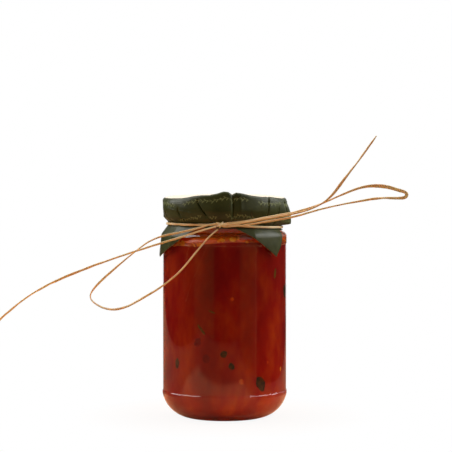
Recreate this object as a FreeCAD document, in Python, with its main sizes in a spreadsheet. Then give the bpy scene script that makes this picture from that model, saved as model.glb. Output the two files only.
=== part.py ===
import FreeCAD, Part
import Sketcher
import os
from math import acos, atan2, cos, degrees, exp, hypot, inf, pi, radians, sin, sqrt, tan

# A jar of peperonata: a round glass jar with a twist-off lid, filled with sauce under a layer of
# oil. A square of paper is gathered over the lid, and a strand of raffia ties it in with a bow.
# Millimetres. +Z is up, the jar's axis is Z, it stands on z = 0 and its front faces -Y.

# ---------------------------------------------------------------------------------------------
# Driving dimensions
# ---------------------------------------------------------------------------------------------

SIZES = {
    # glass jar
    "ring_radius": 33.0,          # the two raised rings that guard the label panel
    "panel_recess": 0.35,         # the panel between the rings is set in by this
    "heel_radius": 15.8,          # rounding from the lower ring down to the foot
    "heel_height": 12.6,
    "heel_width": 12.0,           # the foot's flat ring is set in from the lower ring by this
    "lower_ring_height": 1.3,
    "upper_ring_height": 3.2,
    "ring_step_height": 0.5,
    "rest_width": 2.4,            # width of the flat ring that the jar stands on
    "push_up": 2.0,               # rise of the foot's middle
    "floor_thickness": 3.0,
    "inner_heel_radius": 11.0,
    "glass_wall": 2.1,
    "shoulder_height": 98.6,
    "shoulder_radius": 3.2,
    "neck_step": 3.6,             # the neck is set in from the rings by this
    "neck_root": 0.5,
    "neck_wall": 2.2,
    "neck_bare": 7.5,             # from the shoulder up to the lid's edge
    "mouth_round": 0.7,
    # lid
    "lid_clearance": 1.7,         # between the neck and the lid's skirt
    "lid_sheet": 0.4,
    "lid_curl": 0.7,              # the rolled edge stands out from the skirt by this
    "lid_depth": 9.6,
    "lid_round": 1.2,
    "lid_panel_depth": 0.5,       # the middle of the lid is pressed down by this
    "lid_panel_margin": 5.2,
    # contents
    "food_clearance": 0.1,        # between the contents and the glass
    "sauce_drop": 7.2,            # from the shoulder down to the sauce's mean level
    "sauce_front_rise": 1.3,      # its surface stands higher at the front
    "sauce_side_rise": 1.0,       # and higher at the right than at the left
    "sauce_ripple": 0.45,
    "oil_drop": 11.1,             # from the mouth down to the oil's level
    # paper cover
    "paper_thickness": 0.35,
    "paper_clearance": 0.3,       # to the lid and the glass
    "paper_round": 1.5,
    "paper_dome": 0.9,            # slack in the middle of the top
    "paper_front_hump": 3.8,      # the front of the top stands up off the lid
    "paper_edge_drop": 0.3,       # the middles of the sheet's edges end just under the tie
    "paper_corner_drop": 18.2,    # the corners hang this far, measured along the paper
    "paper_lean": 6.0,            # degrees that the hanging corners lean outwards
    "pleat_depth": 1.5,
    "pleat_count": 13,
    "side_fold": 3.0,             # one fold stands out above the tie on the right
    "side_fold_angle": 88.0,
    "side_fold_width": 17.0,
    # raffia
    "raffia_width": 1.4,
    "tie_front_rise": 0.9,        # the round of the tie is not level
    "tie_side_drop": 1.0,
    "tie_clearance": 0.15,        # between the tie and the paper
    "knot_width": 5.0,
    "knot_depth": 3.2,
    "knot_side": -1.7,            # the knot sits a little left of the middle
    "knot_height_share": 0.756,   # of the height between the tie and the lid's edge
    "knot_lift_share": 0.147,     # of the same height: the bow pulls the knot up a little
}

document = FreeCAD.newDocument("jar_of_peperonata")
sheet = document.addObject("Spreadsheet::Sheet", "Sizes")
for row, (alias, size) in enumerate(SIZES.items(), start=1):
    sheet.set(f"A{row}", alias)
    sheet.set(f"B{row}", str(size))
    sheet.setAlias(f"B{row}", alias)
document.recompute()


def value(expression):
    """The number that an expression on the sheet's cells gives."""
    return float(sheet.evalExpression(expression))


def cell(alias):
    """The number in one cell of the sheet."""
    return value(f"Sizes.{alias}")


# Radii and heights that follow from the cells, as expressions.
PANEL_RADIUS = "(Sizes.ring_radius - Sizes.panel_recess)"
INNER_RADIUS = f"({PANEL_RADIUS} - Sizes.glass_wall)"
REST_RADIUS = "(Sizes.ring_radius - Sizes.heel_width)"
NECK_RADIUS = "(Sizes.ring_radius - Sizes.neck_step)"
BORE_RADIUS = f"({NECK_RADIUS} - Sizes.neck_wall)"
FLOOR_HEIGHT = "(Sizes.push_up + Sizes.floor_thickness)"
LOWER_RING_TOP = "(Sizes.heel_height + Sizes.lower_ring_height)"
SHOULDER_ROUND = "min(Sizes.shoulder_radius; 0.9 * Sizes.neck_step)"
UPPER_RING_TOP = f"(Sizes.shoulder_height - {SHOULDER_ROUND})"
UPPER_RING_FOOT = f"({UPPER_RING_TOP} - Sizes.upper_ring_height)"
INNER_SHOULDER_TOP = "(Sizes.shoulder_height - Sizes.glass_wall)"
INNER_SHOULDER_ROUND = f"({INNER_RADIUS} - {BORE_RADIUS})"
INNER_SHOULDER_FOOT = f"({INNER_SHOULDER_TOP} - {INNER_SHOULDER_ROUND})"
LID_FOOT = "(Sizes.shoulder_height + Sizes.neck_bare)"
LID_TOP = f"({LID_FOOT} + Sizes.lid_depth)"
MOUTH_HEIGHT = f"({LID_TOP} - Sizes.lid_sheet)"
OIL_HEIGHT = f"({MOUTH_HEIGHT} - Sizes.oil_drop)"
SAUCE_HEIGHT = "(Sizes.shoulder_height - Sizes.sauce_drop)"
LID_INNER_RADIUS = f"({NECK_RADIUS} + Sizes.lid_clearance)"
LID_RADIUS = f"({LID_INNER_RADIUS} + Sizes.lid_sheet)"
LID_PANEL_RADIUS = f"({LID_RADIUS} - Sizes.lid_panel_margin)"
TIE_RADIUS = (
    f"({NECK_RADIUS} + Sizes.paper_clearance + Sizes.paper_thickness"
    " + Sizes.tie_clearance + Sizes.raffia_width / 2)"
)
# The tie is as low as the paper under it allows where it sinks nearest to the jar's shoulder.
WAIST_HALF = "(Sizes.raffia_width / 2 + 0.3 * Sizes.tie_clearance)"
TIE_HEIGHT = (
    f"(Sizes.shoulder_height + Sizes.paper_clearance + Sizes.paper_thickness + {WAIST_HALF}"
    " + sqrt(Sizes.tie_front_rise^2 + Sizes.tie_side_drop^2))"
)
KNOT_ROOM = f"({LID_FOOT} - {TIE_HEIGHT})"
KNOT_LIFT = f"(Sizes.tie_front_rise + Sizes.knot_lift_share * {KNOT_ROOM})"


# ---------------------------------------------------------------------------------------------
# Turned pieces
# ---------------------------------------------------------------------------------------------

def draw_outline(sketch, corners):
    """Draw a closed outline in a sketch: x is the radius and y the height.

    Each corner is a radius and a height, as expressions. A third expression is the radius of an
    arc to the next corner, which is otherwise reached by a straight line. The arc bulges to the
    right of the way it goes, or to the left if a minus sign leads the expression.
    """
    places = [FreeCAD.Vector(value(corner[0]), value(corner[1]), 0) for corner in corners]
    first_points = []
    for index, corner in enumerate(corners):
        start, end = places[index], places[(index + 1) % len(corners)]
        if len(corner) == 2:
            sketch.addGeometry(Part.LineSegment(start, end), False)
            first_points.append(1)
            continue
        radius = abs(value(corner[2]))
        chord = end - start
        side = FreeCAD.Vector(chord.y, -chord.x, 0).normalize()
        if corner[2].startswith("-"):
            side = side * -1
        rise = radius - sqrt(radius**2 - chord.Length**2 / 4)
        sketch.addGeometry(Part.Arc(start, (start + end) / 2 + side * rise, end), False)
        first_points.append(1 if sketch.getPoint(index, 1).isEqual(start, 1e-6) else 2)
        number = sketch.addConstraint(Sketcher.Constraint("Radius", index, radius))
        sketch.setExpression(f"Constraints[{number}]", f"abs({corner[2]})")
    for index, corner in enumerate(corners):
        first = first_points[index]
        last = 3 - first_points[index - 1]
        before = (index - 1) % len(corners)
        sketch.addConstraint(Sketcher.Constraint("Coincident", before, last, index, first))
        for kind, axis, expression, size in (
            ("DistanceX", -2, corner[0], places[index].x),
            ("DistanceY", -1, corner[1], places[index].y),
        ):
            if expression == "0":
                sketch.addConstraint(Sketcher.Constraint("PointOnObject", index, first, axis))
                continue
            number = sketch.addConstraint(Sketcher.Constraint(kind, -1, 1, index, first, size))
            sketch.setExpression(f"Constraints[{number}]", expression)


def turned_body(name, corners):
    """A body made by turning one outline about the jar's axis."""
    body = document.addObject("PartDesign::Body", name)
    body.Label = name
    plane = next(feature for feature in body.Origin.OriginFeatures if feature.Role == "XZ_Plane")
    sketch = body.newObject("Sketcher::SketchObject", f"{name}_outline")
    sketch.AttachmentSupport = (plane, [""])
    sketch.MapMode = "FlatFace"
    draw_outline(sketch, corners)
    turn = body.newObject("PartDesign::Revolution", f"{name}_turn")
    turn.Profile = sketch
    turn.ReferenceAxis = (sketch, ["V_Axis"])
    turn.Angle = 360
    document.recompute()
    return body


rest_inner_radius = f"({REST_RADIUS} - Sizes.rest_width)"
push_up_radius = f"-(({rest_inner_radius}^2 + Sizes.push_up^2) / (2 * Sizes.push_up))"
inner_heel_top = f"({FLOOR_HEIGHT} + Sizes.inner_heel_radius)"
inner_floor_radius = f"({INNER_RADIUS} - Sizes.inner_heel_radius)"
glass_jar = turned_body("glass_jar", [
    ("0", "Sizes.push_up", push_up_radius),
    (rest_inner_radius, "0"),
    (REST_RADIUS, "0", "Sizes.heel_radius"),
    ("Sizes.ring_radius", "Sizes.heel_height"),
    ("Sizes.ring_radius", LOWER_RING_TOP),
    (PANEL_RADIUS, f"{LOWER_RING_TOP} + Sizes.ring_step_height"),
    (PANEL_RADIUS, f"{UPPER_RING_FOOT} - Sizes.ring_step_height"),
    ("Sizes.ring_radius", UPPER_RING_FOOT),
    ("Sizes.ring_radius", UPPER_RING_TOP, SHOULDER_ROUND),
    (f"Sizes.ring_radius - {SHOULDER_ROUND}", "Sizes.shoulder_height"),
    (NECK_RADIUS, "Sizes.shoulder_height + Sizes.neck_root"),
    (NECK_RADIUS, f"{MOUTH_HEIGHT} - Sizes.mouth_round", "Sizes.mouth_round"),
    (f"{NECK_RADIUS} - Sizes.mouth_round", MOUTH_HEIGHT),
    (f"{BORE_RADIUS} + Sizes.mouth_round", MOUTH_HEIGHT, "Sizes.mouth_round"),
    (BORE_RADIUS, f"{MOUTH_HEIGHT} - Sizes.mouth_round"),
    (BORE_RADIUS, INNER_SHOULDER_TOP, f"-{INNER_SHOULDER_ROUND}"),
    (INNER_RADIUS, INNER_SHOULDER_FOOT),
    (INNER_RADIUS, inner_heel_top, "-Sizes.inner_heel_radius"),
    (inner_floor_radius, FLOOR_HEIGHT),
    ("0", FLOOR_HEIGHT),
])

lid_panel_edge = f"({LID_PANEL_RADIUS} + Sizes.lid_panel_depth)"
lid_inner_round = "(Sizes.lid_round - Sizes.lid_sheet)"
lid = turned_body("lid", [
    ("0", f"{MOUTH_HEIGHT} - Sizes.lid_panel_depth"),
    (LID_PANEL_RADIUS, f"{MOUTH_HEIGHT} - Sizes.lid_panel_depth"),
    (lid_panel_edge, MOUTH_HEIGHT),
    (f"{LID_INNER_RADIUS} - {lid_inner_round}", MOUTH_HEIGHT, f"-{lid_inner_round}"),
    (LID_INNER_RADIUS, f"{MOUTH_HEIGHT} - {lid_inner_round}"),
    (LID_INNER_RADIUS, LID_FOOT),
    (LID_RADIUS, LID_FOOT, "1.05 * Sizes.lid_curl"),
    (LID_RADIUS, f"{LID_FOOT} + 2 * Sizes.lid_curl"),
    (LID_RADIUS, f"{LID_TOP} - Sizes.lid_round", "Sizes.lid_round"),
    (f"{LID_RADIUS} - Sizes.lid_round", LID_TOP),
    (lid_panel_edge, LID_TOP),
    (LID_PANEL_RADIUS, f"{LID_TOP} - Sizes.lid_panel_depth"),
    ("0", f"{LID_TOP} - Sizes.lid_panel_depth"),
])


# ---------------------------------------------------------------------------------------------
# Contents: everything under one uneven surface is sauce, and the rest up to the level is oil
# ---------------------------------------------------------------------------------------------

contents_radius = f"({INNER_RADIUS} - Sizes.food_clearance)"
contents_floor = f"({FLOOR_HEIGHT} + Sizes.food_clearance)"
contents_neck_foot = f"({INNER_SHOULDER_TOP} - Sizes.food_clearance)"
contents_outline = document.addObject("Sketcher::SketchObject", "contents_outline")
contents_outline.Placement = FreeCAD.Placement(
    FreeCAD.Vector(0, 0, 0), FreeCAD.Rotation(FreeCAD.Vector(1, 0, 0), 90)
)
draw_outline(contents_outline, [
    ("0", contents_floor),
    (inner_floor_radius, contents_floor, "Sizes.inner_heel_radius - Sizes.food_clearance"),
    (contents_radius, inner_heel_top),
    (contents_radius, INNER_SHOULDER_FOOT, f"{INNER_SHOULDER_ROUND} - Sizes.food_clearance"),
    (BORE_RADIUS, contents_neck_foot),
    (f"{BORE_RADIUS} - Sizes.food_clearance", contents_neck_foot),
    (f"{BORE_RADIUS} - Sizes.food_clearance", OIL_HEIGHT),
    ("0", OIL_HEIGHT),
])
contents = document.addObject("Part::Revolution", "contents")
contents.Source = contents_outline
contents.Axis = (0, 0, 1)
contents.Angle = 360
contents.Solid = True


def sauce_level(x, y):
    """Height of the sauce's surface, which is tilted and gently lumpy."""
    radius = cell("ring_radius")
    tilt = cell("sauce_side_rise") * x / radius - cell("sauce_front_rise") * y / radius
    ripple = sin(7 * x / radius + 1.0) * cos(5 * y / radius) + 0.6 * sin(9 * y / radius)
    return value(SAUCE_HEIGHT) + tilt + cell("sauce_ripple") * ripple


surface_steps = 14
surface_places = [
    1.1 * cell("ring_radius") * (2 * step / surface_steps - 1) for step in range(surface_steps + 1)
]
sauce_surface = Part.BSplineSurface()
sauce_surface.interpolate([
    [FreeCAD.Vector(x, y, sauce_level(x, y)) for y in surface_places] for x in surface_places
])
sauce_space = document.addObject("Part::Feature", "sauce_space")
sauce_space.Shape = sauce_surface.toShape().extrude(FreeCAD.Vector(0, 0, -value(SAUCE_HEIGHT)))

sauce = document.addObject("Part::Common", "sauce")
sauce.Base = contents
sauce.Tool = sauce_space
oil = document.addObject("Part::Cut", "oil")
oil.Base = contents
oil.Tool = sauce_space


# ---------------------------------------------------------------------------------------------
# Paper cover: one thin closed shell worked out in rings, from the middle of the sheet outwards
# ---------------------------------------------------------------------------------------------

# The sheet's four corners, in degrees from the front, positive to the right: where each one
# hangs, how far to its left and right its edges run before they reach the tie, and how far down
# it hangs, as a share of the longest.
PAPER_CORNERS = [(-76, 30, 50, 1.0), (52, 39, 20, 0.86), (138, 32, 35, 1.0), (212, 36, 30, 0.95)]


def waist(angle):
    """Heights just above and below the tie, where the paper is pressed to the neck."""
    rise = cell("tie_front_rise") * cos(angle) - cell("tie_side_drop") * sin(angle)
    middle = value(TIE_HEIGHT) + rise
    return middle + value(WAIST_HALF), middle - value(WAIST_HALF)


def corner_share(angle):
    """1 at the sheet's longest corner, falling straight to 0 where its edges reach the tie."""
    share = 0.0
    for corner, left, right, hang in PAPER_CORNERS:
        offset = (degrees(angle) - corner + 180) % 360 - 180
        rest = 1 + offset / left if offset < 0 else 1 - offset / right
        share = max(share, hang * rest)
    return share


def pleat(angle):
    """Uneven pleats round the cover, from 0 in a groove to 1 on a ridge, lower at the front."""
    uneven = 1.3 * sin(2 * angle) + 0.7 * sin(3 * angle)
    wave = 0.5 - 0.5 * cos(cell("pleat_count") * angle + uneven)
    return wave * (0.7 - 0.3 * cos(angle))


def side_fold(angle):
    """1 on the ridge of the fold that stands out on the right, falling to 0 beside it."""
    offset = (degrees(angle) - cell("side_fold_angle")) / cell("side_fold_width")
    return exp(-offset**2)


def front_hump(angle):
    """1 at the front, where the top of the cover stands up off the lid, falling to 0 behind."""
    dent = 0.15 * (1 - cos(9 * angle))
    return max(cos(angle), 0) ** 3 * (1 - dent)


def skirt_place(angle, drop):
    """Radius and height of the paper that hangs below the tie, at a distance along it.

    It runs straight to the jar's shoulder, round it at a clearance, and then down, leaning out.
    """
    half = cell("paper_thickness") / 2
    start_radius = value(NECK_RADIUS) + cell("paper_clearance") + half
    start_height = waist(angle)[1]
    round_radius = value(SHOULDER_ROUND)
    centre_radius = cell("ring_radius") - round_radius
    centre_height = value(UPPER_RING_TOP)
    reach = round_radius + cell("paper_clearance") + half
    away = hypot(start_radius - centre_radius, start_height - centre_height)
    straight = sqrt(away**2 - reach**2)
    touch = atan2(start_height - centre_height, start_radius - centre_radius) - acos(reach / away)
    touch_radius = centre_radius + reach * cos(touch)
    touch_height = centre_height + reach * sin(touch)
    if drop <= straight:
        share = drop / straight
        return (
            start_radius + share * (touch_radius - start_radius),
            start_height + share * (touch_height - start_height),
        )
    lean = radians(cell("paper_lean"))
    bend = min((drop - straight) / reach, touch - lean)
    rest = drop - straight - bend * reach
    return (
        centre_radius + reach * cos(touch - bend) + rest * sin(touch - bend),
        centre_height + reach * sin(touch - bend) - rest * cos(touch - bend),
    )


# How much of the pleats' depth shows at the cover's upper edge, at the lid's edge, in the gather
# and in the hanging corners (there for each millimetre from the tie), and how the side fold's
# height is shared between the lid's side and the gather.
PLEAT_AT_TOP = 0.15
PLEAT_AT_LID_EDGE = 0.75
PLEAT_IN_GATHER = 0.9
PLEAT_IN_SKIRT = 0.06
FOLD_ON_SIDE = 0.75
FOLD_IN_GATHER = 0.25

TOP_RINGS = (0.3, 0.6, 0.85)
ROUND_RINGS = (0.0, 0.5, 1.0)
SIDE_RINGS = (0.3, 0.65, 1.0)
GATHER_RINGS = (0.35, 0.7, 1.0)
# Below the tie a ring lies at this distance along the paper, or where the paper is shorter at
# this share of it: the rings are closest where the paper bends over the jar's shoulder.
SKIRT_RINGS = (
    (0.0, 0.0), (1.6, 0.15), (3.8, 0.32), (4.8, 0.45), (5.8, 0.57), (6.8, 0.68), (9.0, 0.79),
    (13.0, 0.9), (inf, 1.0),
)


def paper_line(angle):
    """Points of the sheet's mid surface, from near its middle out to its edge, at an angle."""
    half = cell("paper_thickness") / 2
    stand_off = cell("paper_clearance") + half
    side_radius = value(LID_RADIUS) + cell("lid_curl") + stand_off
    top_radius = side_radius - cell("paper_round")
    top_height = value(LID_TOP) + stand_off
    foot_height = value(LID_FOOT)
    tie_radius = value(NECK_RADIUS) + stand_off
    hump = cell("paper_front_hump") * front_hump(angle)
    pleats = cell("pleat_depth") * pleat(angle)
    fold = cell("side_fold") * side_fold(angle)
    places = []
    for share in TOP_RINGS:
        dome = cell("paper_dome") * (1 - share**2)
        places.append((share * top_radius, top_height + dome + hump * share**3))
    for share in ROUND_RINGS:
        turn = share * pi / 2
        places.append((
            top_radius + cell("paper_round") * sin(turn) + PLEAT_AT_TOP * pleats * share,
            top_height + hump - cell("paper_round") * (1 - cos(turn)),
        ))
    round_foot = top_height + hump - cell("paper_round")
    for share in SIDE_RINGS:
        pleats_here = PLEAT_AT_TOP + share * (PLEAT_AT_LID_EDGE - PLEAT_AT_TOP)
        out = pleats_here * pleats + FOLD_ON_SIDE * share * fold
        places.append((side_radius + out, round_foot + share * (foot_height - round_foot)))
    for share in GATHER_RINGS:
        out = (1 - share**4) * (PLEAT_IN_GATHER * pleats + FOLD_IN_GATHER * fold)
        out += (1 - share**6) * FOLD_ON_SIDE * fold
        places.append((
            side_radius + share**1.5 * (tie_radius - side_radius) + out,
            foot_height + share * (waist(angle)[0] - foot_height),
        ))
    edge_drop, corner_drop = cell("paper_edge_drop"), cell("paper_corner_drop")
    drop = edge_drop + corner_share(angle) * (corner_drop - edge_drop)
    for distance, share in SKIRT_RINGS:
        along = min(distance, share * drop)
        radius, height = skirt_place(angle, along)
        places.append((radius + PLEAT_IN_SKIRT * along * pleats, height))
    return [
        FreeCAD.Vector(radius * sin(angle), -radius * cos(angle), height)
        for radius, height in places
    ]


def paper_shell():
    """The closed shell: the mid surface moved out and in by half the paper's thickness."""
    columns_between = 21
    corners = [row[0] for row in PAPER_CORNERS]
    lines = []
    for corner, following in zip(corners, corners[1:] + [corners[0] + 360]):
        step = (following - corner) / columns_between
        lines += [paper_line(radians(corner + step * k)) for k in range(columns_between)]
    columns = len(lines)
    rings = len(lines[0])
    half = cell("paper_thickness") / 2
    middle_height = value(LID_TOP) + cell("paper_clearance") + half + cell("paper_dome")
    middle = FreeCAD.Vector(0, 0, middle_height)
    points = []
    for side in (half, -half):
        points.append(middle + FreeCAD.Vector(0, 0, side))
        for column in range(columns):
            line, after, before = lines[column], lines[(column + 1) % columns], lines[column - 1]
            for ring in range(rings):
                inner = line[ring - 1] if ring else middle
                outer = line[min(ring + 1, rings - 1)]
                normal = (outer - inner).cross(after[ring] - before[ring]).normalize()
                points.append(line[ring] + normal * side)
    layer = 1 + columns * rings

    def number(side, column, ring):
        return side * layer + 1 + (column % columns) * rings + ring

    facets = []
    for column in range(columns):
        for side in (0, 1):
            layer_facets = [(side * layer, number(side, column, 0), number(side, column + 1, 0))]
            for ring in range(rings - 1):
                a, b = number(side, column, ring), number(side, column, ring + 1)
                c, d = number(side, column + 1, ring + 1), number(side, column + 1, ring)
                layer_facets += [(a, b, c), (a, c, d)]
            facets += layer_facets if side == 0 else [facet[::-1] for facet in layer_facets]
        a, b = number(0, column, rings - 1), number(1, column, rings - 1)
        c, d = number(1, column + 1, rings - 1), number(0, column + 1, rings - 1)
        facets += [(a, b, c), (a, c, d)]
    skin = Part.Shape()
    skin.makeShapeFromMesh(([tuple(point) for point in points], facets), 1e-4)
    return Part.Solid(Part.Shell(skin.Faces))


paper_cover = document.addObject("Part::Feature", "paper_cover")
paper_cover.Shape = paper_shell()


# ---------------------------------------------------------------------------------------------
# Raffia: one round under the lid, a knot at the front, and a bow of two loops and two ends
# ---------------------------------------------------------------------------------------------

raffia_tie = document.addObject("Part::Torus", "raffia_tie")
raffia_tie.setExpression("Radius1", TIE_RADIUS)
raffia_tie.setExpression("Radius2", "Sizes.raffia_width / 2")
tie_tilt = FreeCAD.Vector(
    cell("tie_side_drop") / value(TIE_RADIUS), cell("tie_front_rise") / value(TIE_RADIUS), 1
)
raffia_tie.Placement = FreeCAD.Placement(
    FreeCAD.Vector(0, 0, value(TIE_HEIGHT)),
    FreeCAD.Rotation(FreeCAD.Vector(0, 0, 1), tie_tilt),
)

knot_middle = FreeCAD.Vector(
    cell("knot_side"),
    -value(TIE_RADIUS) - (cell("raffia_width") + cell("knot_depth")) / 2 - cell("tie_clearance"),
    value(TIE_HEIGHT) + value(KNOT_LIFT),
)
raffia_knot = document.addObject("Part::Ellipsoid", "raffia_knot")
raffia_knot.setExpression("Radius1", f"Sizes.knot_height_share * {KNOT_ROOM} / 2")
raffia_knot.setExpression("Radius2", "Sizes.knot_width / 2")
raffia_knot.setExpression("Radius3", "Sizes.knot_depth / 2")
raffia_knot.Angle1 = -90
raffia_knot.Placement = FreeCAD.Placement(knot_middle, FreeCAD.Rotation())

# Each strand's route is a list of points, measured from the middle of the knot.
STRANDS = {
    "loop_left": [
        (-2.8, 0.0, 0.8), (-9.1, -2.0, -0.8), (-19.0, -3.1, -3.3), (-34.4, -3.6, -6.2),
        (-44.8, -3.0, -13.8), (-57.0, -1.9, -24.3), (-65.5, -1.0, -32.3), (-68.0, -0.6, -38.0),
        (-60.3, -0.4, -43.2), (-51.3, -0.6, -43.4), (-39.9, -1.5, -37.3), (-28.5, -2.6, -30.3),
        (-20.1, -3.6, -23.0), (-12.2, -3.9, -12.8), (-5.2, -2.6, -4.6), (-1.7, -0.5, -2.3),
    ],
    "loop_right": [
        (2.8, 0.3, 1.0), (10.6, -1.5, 1.5), (23.0, -2.9, 4.1), (38.4, -3.5, 6.8),
        (50.7, -3.3, 10.6), (62.6, -2.7, 16.1), (73.0, -1.9, 20.1), (83.4, -1.3, 20.1),
        (90.6, -1.0, 17.9), (95.0, -0.8, 16.7), (94.7, -0.8, 14.1), (90.4, -0.9, 13.7),
        (82.0, -1.3, 14.1), (71.1, -1.9, 12.4), (59.2, -2.5, 10.1), (47.8, -3.1, 7.5),
        (37.4, -3.4, 4.3), (22.5, -2.9, 1.8), (10.6, -1.6, -0.3), (2.7, -0.1, -0.9),
    ],
    "end_left": [
        (-2.7, -1.1, -0.7), (-8.7, -3.3, -2.2), (-18.8, -4.7, -5.6), (-34.0, -5.3, -10.0),
        (-59.3, -4.2, -18.2), (-85.5, -2.2, -28.6), (-100.4, -1.2, -37.3), (-112.8, -0.7, -47.6),
        (-120.7, -0.3, -55.8), (-125.9, 0.0, -62.2),
    ],
    "end_right": [
        (2.7, -1.4, 0.2), (10.1, -3.6, 0.9), (22.5, -4.9, 3.4), (38.4, -5.4, 6.2),
        (48.8, -5.2, 9.4), (56.0, -4.9, 14.4), (63.2, -4.5, 24.4), (71.4, -4.2, 34.9),
        (79.1, -3.8, 45.7),
    ],
}


def strand_path(points):
    """Straight runs joined by tangent arcs, each as large as its two runs allow."""
    places = [knot_middle + FreeCAD.Vector(*point) for point in points]
    edges, radii, last = [], [], places[0]
    for before, corner, after in zip(places, places[1:], places[2:]):
        back, ahead = before - corner, after - corner
        trim = 0.45 * min(back.Length, ahead.Length)
        back.normalize()
        ahead.normalize()
        half_turn = (pi - back.getAngle(ahead)) / 2
        radius = trim / tan(half_turn)
        inwards = (back + ahead).normalize()
        middle = corner + inwards * (radius / cos(half_turn) - radius)
        start, end = corner + back * trim, corner + ahead * trim
        edges.append(Part.LineSegment(last, start).toShape())
        edges.append(Part.Arc(start, middle, end).toShape())
        radii.append(round(radius, 1))
        last = end
    edges.append(Part.LineSegment(last, places[-1]).toShape())
    return Part.Wire(edges), radii


def strand(name, points):
    """A round tube along a strand's route, and a line that says how it came out."""
    path, radii = strand_path(points)
    start = path.Edges[0]
    section = Part.Circle(start.valueAt(start.FirstParameter), start.tangentAt(0),
                          cell("raffia_width") / 2)
    tube = path.makePipeShell([Part.Wire(section.toShape())], True, False)
    body = document.addObject("Part::Feature", name)
    body.Shape = tube
    expected = pi * cell("raffia_width") ** 2 / 4 * path.Length
    print(f"{name}: length {path.Length:.1f}, volume ratio {tube.Volume / expected:.4f},"
          f" radii {radii}")
    return body


strands = [strand(name, points) for name, points in STRANDS.items()]


# ---------------------------------------------------------------------------------------------
# Checks and files
# ---------------------------------------------------------------------------------------------

nodes = [glass_jar, lid, sauce, oil, paper_cover, raffia_tie, raffia_knot] + strands
for node in nodes:
    node.Label = node.Name
document.recompute()
for item in document.Objects:
    if "Invalid" in item.State or "Error" in item.State:
        raise RuntimeError(f"{item.Label} did not come out: {item.State}")
for node in nodes:
    if node.Shape.isNull() or not node.Shape.isValid():
        raise RuntimeError(f"{node.Label} has no valid shape")

os.makedirs("parts", exist_ok=True)
for node in nodes:
    node.Shape.exportStep(f"parts/{node.Label}.step")
    print(f"{node.Label}: {node.Shape.Volume / 1000:.2f} ml")
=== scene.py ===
from math import acos, atan2, cos, degrees, exp, hypot, pi, radians, sin, sqrt
from random import Random

import bmesh
import bpy
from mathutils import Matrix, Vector, noise


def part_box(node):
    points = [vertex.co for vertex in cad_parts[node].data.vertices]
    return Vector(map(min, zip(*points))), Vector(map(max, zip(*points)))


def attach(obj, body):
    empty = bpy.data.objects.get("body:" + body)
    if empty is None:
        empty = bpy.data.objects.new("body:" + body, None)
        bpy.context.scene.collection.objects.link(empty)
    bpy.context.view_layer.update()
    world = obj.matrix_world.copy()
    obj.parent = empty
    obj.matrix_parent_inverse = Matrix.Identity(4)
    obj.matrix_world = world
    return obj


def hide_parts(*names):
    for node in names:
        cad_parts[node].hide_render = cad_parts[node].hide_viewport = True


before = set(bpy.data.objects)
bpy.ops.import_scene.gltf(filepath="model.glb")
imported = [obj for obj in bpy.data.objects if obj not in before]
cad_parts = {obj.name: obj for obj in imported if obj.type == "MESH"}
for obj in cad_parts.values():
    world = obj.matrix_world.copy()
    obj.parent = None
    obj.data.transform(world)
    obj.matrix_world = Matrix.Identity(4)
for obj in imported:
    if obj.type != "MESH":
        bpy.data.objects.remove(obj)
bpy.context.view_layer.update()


# --------------------------------------------
# Camera: level with the neck of the jar, looking slightly down at it from the front.

camera_data = bpy.data.cameras.new("camera")
camera_data.sensor_width = 36
camera_data.lens = 150.45
camera = bpy.data.objects.new("camera", camera_data)
bpy.context.collection.objects.link(camera)
camera.location = (0.00074, -1.0, 0.147)
camera_aim = Vector((0.00074, 0, 0.10091)) - camera.location
camera.rotation_euler = camera_aim.to_track_quat("-Z", "Y").to_euler()
bpy.context.scene.camera = camera


# --------------------------------------------
# Loose raffia: two loops and two ends of a bow, which leave the knot at the front of the neck.
# Dry strips of palm leaf, 1 to 2 mm wide, half rolled up lengthwise, that turn as they go.

def bare_material(name):
    """A material with only its shader, and its nodes, its link function and the shader.

    The functions that add nodes do so in the material that was made last.
    """
    material = bpy.data.materials.new(name)
    material.use_nodes = True
    tree = material.node_tree
    return material, tree.nodes, tree.links.new, tree.nodes["Principled BSDF"]


def put(node, values):
    """Sets inputs of a node to values."""
    for socket, value in values.items():
        node.inputs[socket].default_value = value
    return node


def uv_place(layer):
    node = nodes.new("ShaderNodeUVMap")
    node.uv_map = layer
    return node.outputs["UV"]


def stretched(place, scale):
    node = put(nodes.new("ShaderNodeMapping"), {"Scale": scale})
    link(place, node.inputs["Vector"])
    return node.outputs["Vector"]


def clouds(place, scale, detail=2, roughness=0.5):
    """The value of a noise texture at a place on the surface."""
    node = nodes.new("ShaderNodeTexNoise")
    put(node, {"Scale": scale, "Detail": detail, "Roughness": roughness})
    link(place, node.inputs["Vector"])
    return node.outputs["Fac"]


def ramp(value, stops):
    """The colour of a value on a colour ramp with stops of (place, colour)."""
    node = nodes.new("ShaderNodeValToRGB")
    first, last = node.color_ramp.elements
    first.position, first.color = stops[0][0], (*stops[0][1], 1)
    last.position, last.color = stops[-1][0], (*stops[-1][1], 1)
    for place, colour in stops[1:-1]:
        node.color_ramp.elements.new(place).color = (*colour, 1)
    link(value, node.inputs["Fac"])
    return node.outputs["Color"]


def feed(socket, source):
    """Links another node's output to an input, or sets the input to a number or a colour."""
    if isinstance(source, (int, float)):
        socket.default_value = source
    elif isinstance(source, tuple):
        socket.default_value = (*source, 1)
    else:
        link(source, socket)


def colour_mix(share, first, second, blend="MIX"):
    node = nodes.new("ShaderNodeMix")
    node.data_type = "RGBA"
    node.blend_type = blend
    for name, source in (("Factor", share), ("A", first), ("B", second)):
        feed(node.inputs[name], source)
    return node.outputs["Result"]


def paint(colour):
    link(colour, shader.inputs["Base Color"])


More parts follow.
